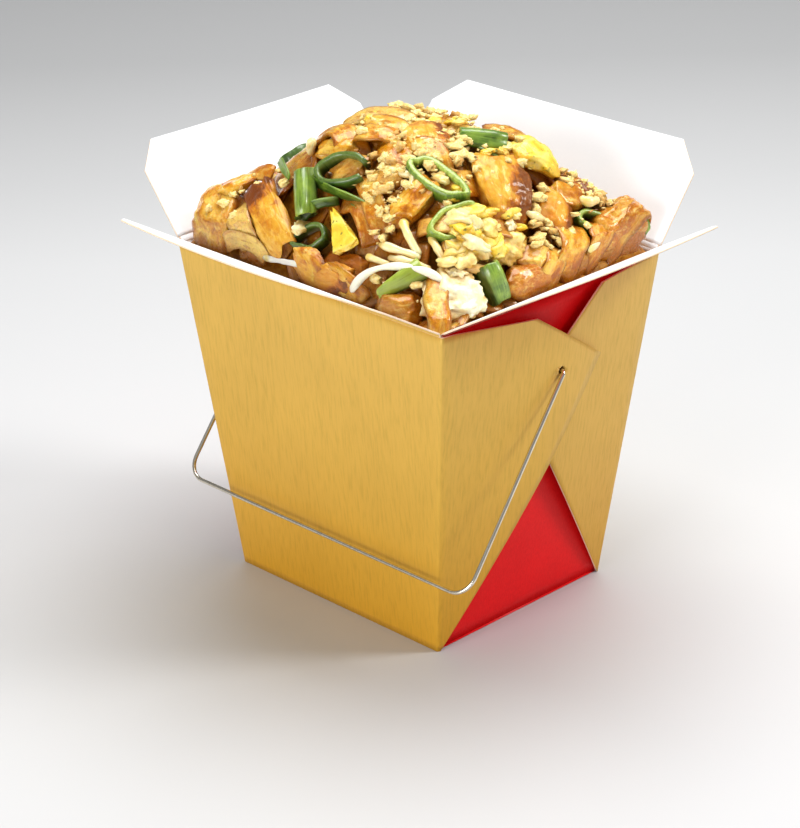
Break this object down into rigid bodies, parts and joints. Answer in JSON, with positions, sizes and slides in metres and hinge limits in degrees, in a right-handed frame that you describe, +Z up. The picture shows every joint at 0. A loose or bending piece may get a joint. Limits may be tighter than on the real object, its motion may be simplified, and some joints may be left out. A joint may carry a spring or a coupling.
{
  "type": "noodle takeaway box",
  "caption": "Folded paperboard pail heaped with wide noodles, chicken, spring onion and egg, its four top flaps open and its wire handle hanging at the front.",
  "frame": {"origin": "middle of the base, on the surface that the box stands on", "axes": "+Z up, -Y out of the front wall, where the handle hangs, +X to the right as seen from the front"},
  "size_m": [0.1497, 0.1362, 0.137],
  "materials": {
    "gold_board": "coated board with a satin gold print on the front, back and webs, and red side walls",
    "white_board": "smooth white coated inner face",
    "steel_wire": "bright drawn wire",
    "noodles": "cooked food with a thin oily glaze",
    "chicken": "fried food with browned edges and a thin glaze",
    "onion": "moist fresh leaf",
    "egg": "soft moist cooked egg"
  },
  "bodies": {
    "root": {"carton": "gold_board", "noodles": "noodles", "chicken_left": "chicken", "chicken_top": "chicken", "chicken_middle": "chicken", "chicken_right": "chicken", "chicken_back": "chicken", "chicken_front": "chicken", "onion_tube": "onion", "onion_loop_left": "onion", "onion_loop_low": "onion", "onion_loop_middle": "onion", "onion_loop_right": "onion", "onion_slab": "onion", "onion_leaf": "onion", "onion_end": "onion", "onion_ring": "onion", "onion_tip": "onion", "egg_fold": "egg", "egg_pale": "egg", "omelette_wedge": "egg", "omelette_curl": "egg"},
    "front_flap": {"flap_front": "white_board"},
    "back_flap": {"flap_back": "white_board"},
    "left_flap": {"flap_left": "white_board"},
    "right_flap": {"flap_right": "white_board"},
    "handle": {"bail": "steel_wire"}
  },
  "joints": [
    {"name": "front_crease", "type": "hinge", "parent": "root", "child": "front_flap", "pos_m": [0, -0.0432, 0.10045], "axis": [-1, 0, 0], "range_deg": [-30.4, 47.6]},
    {"name": "back_crease", "type": "hinge", "parent": "root", "child": "back_flap", "pos_m": [0, 0.0432, 0.10045], "axis": [1, 0, 0], "range_deg": [-49.2, 28.8]},
    {"name": "left_crease", "type": "hinge", "parent": "root", "child": "left_flap", "pos_m": [-0.0511, 0, 0.10045], "axis": [0, 1, 0], "range_deg": [-49.2, 28.8]},
    {"name": "right_crease", "type": "hinge", "parent": "root", "child": "right_flap", "pos_m": [0.0511, 0, 0.10045], "axis": [0, -1, 0], "range_deg": [-30, 48]},
    {"name": "handle_swing", "type": "hinge", "parent": "root", "child": "handle", "pos_m": [0, 0, 0.078], "axis": [-1, 0, 0], "range_deg": [0, 67]}
  ]
}
